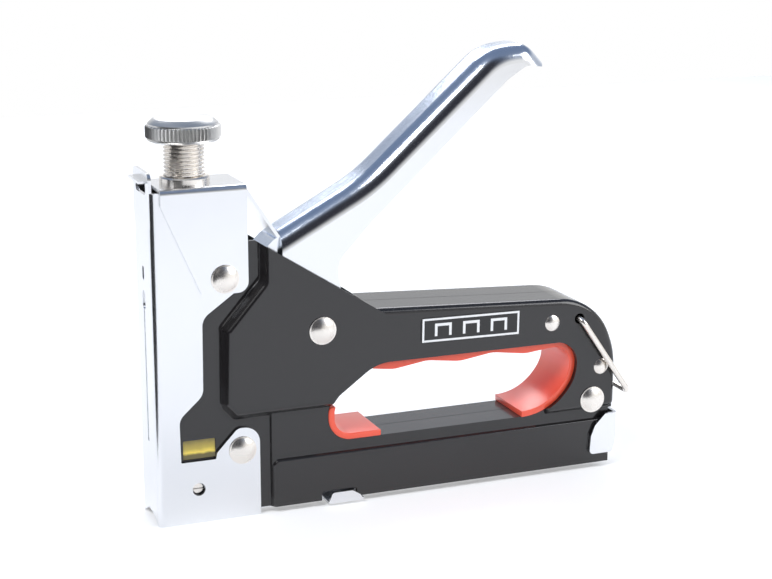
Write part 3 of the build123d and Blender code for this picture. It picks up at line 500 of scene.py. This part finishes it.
# ---- grip liners ------------------------------------------------------------------------------
def build_liners():
    """Moulded liners with their long edges rounded off."""
    for node in ("rear_grip_liner", "front_grip_liner"):
        bm = merged_copy(node)
        sharp = [e for e in bm.edges if e.is_manifold and e.calc_face_angle(0.0) > radians(40)]
        bmesh.ops.bevel(bm, geom=sharp, offset=settings()[1].liner_round, offset_type="OFFSET", segments=4,
                        profile=0.5, affect="EDGES", material=-1, clamp_overlap=True)
        finish(f"{node}_moulded", bm, "frame", "red_grip", (node,), 40)


# ---- badge ------------------------------------------------------------------------------------
def build_badge():
    """Badge with a printed frame of four straight bars and three plain staple pictograms."""
    low, high = (Vector(corner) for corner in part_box("label_plate"))
    line = settings()[1].badge_line
    bm = merged_copy("label_plate")
    finish("badge_ground", bm, "frame", "badge_ground", ("label_plate",))
    ink = low.y - 0.02 * MM
    bm = bmesh.new()
    ink_thick = 0.03 * MM
    width, height = high.x - low.x, 8.2 * MM
    at = Vector(((low.x + high.x) / 2, ink, (low.z + high.z) / 2))
    lean = Matrix.Rotation(radians(0.9), 4, "Y")
    add_frame(bm, at, lean, width - 0.8 * MM, height, line, ink_thick)
    mark_width, mark_height, mark_line, mark_step = 6.2 * MM, 4.4 * MM, 0.95 * MM, 10.4 * MM
    for i in (-1, 0, 1):
        shift = Vector((i * mark_step, 0, 0))
        add_staple_mark(bm, at, lean, shift, mark_width, mark_height, mark_line, ink_thick)
    finish("badge_print", bm, "frame", "badge")


def add_bar(bm, at, lean, x_low, x_high, z_low, z_high, thick):
    """Flat printed bar between two corners about at."""
    made = bmesh.ops.create_cube(bm, size=1.0)["verts"]
    bmesh.ops.scale(bm, verts=made, vec=(x_high - x_low, thick, z_high - z_low))
    bmesh.ops.translate(bm, verts=made, vec=((x_low + x_high) / 2, 0, (z_low + z_high) / 2))
    bmesh.ops.transform(bm, verts=made, matrix=Matrix.Translation(at) @ lean)


def add_frame(bm, at, lean, width, height, line, thick):
    """Four bars of a printed frame."""
    half, up = width / 2, height / 2
    add_bar(bm, at, lean, -half, half, up - line, up, thick)
    add_bar(bm, at, lean, -half, half, -up, line - up, thick)
    add_bar(bm, at, lean, -half, line - half, line - up, up - line, thick)
    add_bar(bm, at, lean, half - line, half, line - up, up - line, thick)


def add_staple_mark(bm, at, lean, shift, width, height, line, thick):
    """Pictogram of one staple: a crown and two legs."""
    half, up = width / 2, height / 2
    place = at + lean.to_3x3() @ shift
    add_bar(bm, place, lean, -half, half, up - line, up, thick)
    add_bar(bm, place, lean, -half, line - half, -up, up - line, thick)
    add_bar(bm, place, lean, half - line, half, -up, up - line, thick)


# ---- staples ----------------------------------------------------------------------------------
def build_staples():
    """Stick of separate staples, each a bent flat wire."""
    low, high = (Vector(corner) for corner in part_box("staple_stick"))
    wire = settings()[1].staple_wire
    count = int((high.x - low.x) / wire)
    bm = bmesh.new()
    for i in range(count):
        x = low.x + (i + 0.5) * wire
        half, thick = high.y, wire * 0.94
        for y_low, y_high, z_low, z_high in (
                (-half, half, high.z - wire, high.z), (-half, wire - half, low.z, high.z - wire),
                (half - wire, half, low.z, high.z - wire)):
            made = bmesh.ops.create_cube(bm, size=1.0)["verts"]
            bmesh.ops.scale(bm, verts=made, vec=(thick, y_high - y_low, z_high - z_low))
            bmesh.ops.translate(bm, verts=made, vec=(x, (y_low + y_high) / 2, (z_low + z_high) / 2))
    finish("staples", bm, "frame", "zinc_steel", ("staple_stick",))


# ---- operators --------------------------------------------------------------------------------
class GUN_OT_finishes(bpy.types.Operator):
    """Give every frame piece its finish"""
    bl_idname = "gun.finishes"
    bl_label = "Finishes"

    def execute(self, context):
        make_finishes()
        return {"FINISHED"}


class GUN_OT_knob(bpy.types.Operator):
    """Build the knurled power knob"""
    bl_idname = "gun.knob"
    bl_label = "Power knob"

    def execute(self, context):
        build_knob()
        return {"FINISHED"}


class GUN_OT_screw(bpy.types.Operator):
    """Build the threaded adjuster screw"""
    bl_idname = "gun.screw"
    bl_label = "Adjuster screw"

    def execute(self, context):
        build_screw()
        return {"FINISHED"}


class GUN_OT_rivets(bpy.types.Operator):
    """Build the large domed rivets"""
    bl_idname = "gun.rivets"
    bl_label = "Rivets"

    def execute(self, context):
        build_rivets()
        return {"FINISHED"}


class GUN_OT_liners(bpy.types.Operator):
    """Build the moulded grip liners"""
    bl_idname = "gun.liners"
    bl_label = "Grip liners"

    def execute(self, context):
        build_liners()
        return {"FINISHED"}


class GUN_OT_badge(bpy.types.Operator):
    """Build the badge on the beam"""
    bl_idname = "gun.badge"
    bl_label = "Badge"

    def execute(self, context):
        build_badge()
        return {"FINISHED"}


class GUN_OT_staples(bpy.types.Operator):
    """Build the stick of staples"""
    bl_idname = "gun.staples"
    bl_label = "Staples"

    def execute(self, context):
        build_staples()
        return {"FINISHED"}


class GUN_OT_stage(bpy.types.Operator):
    """Set up floor, lights and camera"""
    bl_idname = "gun.stage"
    bl_label = "Stage"

    def execute(self, context):
        build_stage()
        return {"FINISHED"}


def build_stage():
    """Pale floor, soft lights and the camera."""
    stage = settings()[3]
    bm = bmesh.new()
    bmesh.ops.create_grid(bm, x_segments=1, y_segments=1, size=stage.floor / 2)
    mesh = bpy.data.meshes.new("floor")
    bm.to_mesh(mesh)
    bm.free()
    floor = bpy.data.objects.new("floor", mesh)
    floor.location = (0, 0, -0.05 * MM)
    mesh.materials.append(floor_finish().material)
    bpy.context.scene.collection.objects.link(floor)
    light_world()
    soft_box("key", (-0.62, -0.50, 1.00), 0.42, 0.42, 9.0)
    soft_box("fill", (0.95, -0.70, 0.70), 0.7, 0.7, 8.0)
    soft_box("back", (0.35, 0.95, 0.95), 1.0, 0.6, 9.0)
    dark_card("card_nose", (-0.19, -0.44), (-0.095, 0.012), 0.34)
    add_camera(stage)
    bpy.context.scene.view_settings.view_transform = "Standard"


def dark_card(name, start, end, height):
    """Upright black card that only the polished metal sees."""
    bm = bmesh.new()
    foot = [bm.verts.new((*start, 0.0)), bm.verts.new((*end, 0.0))]
    raised = bmesh.ops.extrude_edge_only(bm, edges=[bm.edges.new(foot)])["geom"]
    top = [v for v in raised if isinstance(v, bmesh.types.BMVert)]
    bmesh.ops.translate(bm, verts=top, vec=(0, 0, height))
    mesh = bpy.data.meshes.new(name)
    bm.to_mesh(mesh)
    bm.free()
    card = bpy.data.objects.new(name, mesh)
    g = Graph(name)
    mesh.materials.append(g.set(Base_Color=(0.01, 0.01, 0.012, 1), Roughness=0.9).material)
    card.visible_camera = False
    card.visible_diffuse = False
    card.visible_shadow = False
    card.visible_transmission = False
    bpy.context.scene.collection.objects.link(card)


def soft_box(name, place, width, height, power):
    """Area light aimed at the gun's middle."""
    data = bpy.data.lights.new(name, "AREA")
    data.shape = "RECTANGLE"
    data.size = width
    data.size_y = height
    data.energy = power
    lamp = bpy.data.objects.new(name, data)
    lamp.location = place
    lamp.rotation_euler = (Vector(place) - Vector(LIGHT_AIM)).to_track_quat("Z", "Y").to_euler()
    bpy.context.scene.collection.objects.link(lamp)


def light_world():
    """White studio with a cooler ceiling and a dark end of the room behind the camera."""
    world = bpy.data.worlds.new("studio")
    bpy.context.scene.world = world
    world.use_nodes = True
    g = Graph("studio", world, "Background")
    way = g.add("ShaderNodeTexCoord", output="Generated")
    height = g.add("ShaderNodeSeparateXYZ", {}, {0: way}, output="Z")
    ceiling = g.add("ShaderNodeValToRGB", {"stops": ((0.16, 0.0), (0.50, 1.0))}, {0: height})
    walls = g.mix(ceiling, (1.0, 1.0, 1.0, 1.0), (0.20, 0.26, 0.38, 1))
    toward = g.add(
        "ShaderNodeVectorMath", {"operation": "DOT_PRODUCT"}, {0: way, 1: DARK_END}, output="Value")
    shade_off = g.add("ShaderNodeValToRGB", {"stops": ((0.72, 0.0), (0.90, 1.0))}, {0: toward})
    g.set(Color=g.mix(shade_off, walls, (0.03, 0.03, 0.04, 1)), Strength=1.0)


def add_camera(stage):
    """Camera seen from the front right, a little above."""
    data = bpy.data.cameras.new("camera")
    data.lens = stage.lens
    data.sensor_width = 36.0
    data.clip_start = 0.01
    camera = bpy.data.objects.new("camera", data)
    camera.location = CAMERA_PLACE
    camera.rotation_euler = (pi / 2 - stage.elevation, 0, stage.azimuth)
    bpy.context.scene.collection.objects.link(camera)
    bpy.context.scene.camera = camera


class GUN_PT_panel(bpy.types.Panel):
    """Sidebar panel of the staple gun builder"""
    bl_label = "Staple gun"
    bl_idname = "GUN_PT_panel"
    bl_space_type = "VIEW_3D"
    bl_region_type = "UI"
    bl_category = "Staple Gun"

    def draw(self, context):
        for group in settings():
            for key in group.__annotations__:
                self.layout.prop(group, key)
        for operator in OPERATORS:
            self.layout.operator(operator.bl_idname)


GROUPS = {
    "gun_knob": GunKnobSizes, "gun_trim": GunTrimSizes, "gun_colours": GunColours, "gun_stage": GunStageSizes}
OPERATORS = (
    GUN_OT_finishes, GUN_OT_knob, GUN_OT_screw, GUN_OT_rivets, GUN_OT_liners, GUN_OT_badge, GUN_OT_staples,
    GUN_OT_stage)


def register():
    """Registers the groups, operators and panel."""
    for name, group in GROUPS.items():
        bpy.utils.register_class(group)
        setattr(bpy.types.Scene, name, bpy.props.PointerProperty(type=group))
    for cls in (*OPERATORS, GUN_PT_panel):
        bpy.utils.register_class(cls)


def unregister():
    """Takes them away again."""
    for cls in (GUN_PT_panel, *OPERATORS):
        bpy.utils.unregister_class(cls)
    for name, group in GROUPS.items():
        delattr(bpy.types.Scene, name)
        bpy.utils.unregister_class(group)


def main():
    register()
    for operator in OPERATORS:
        group, call = operator.bl_idname.split(".")
        getattr(getattr(bpy.ops, group), call)()


if __name__ == "__main__":
    main()
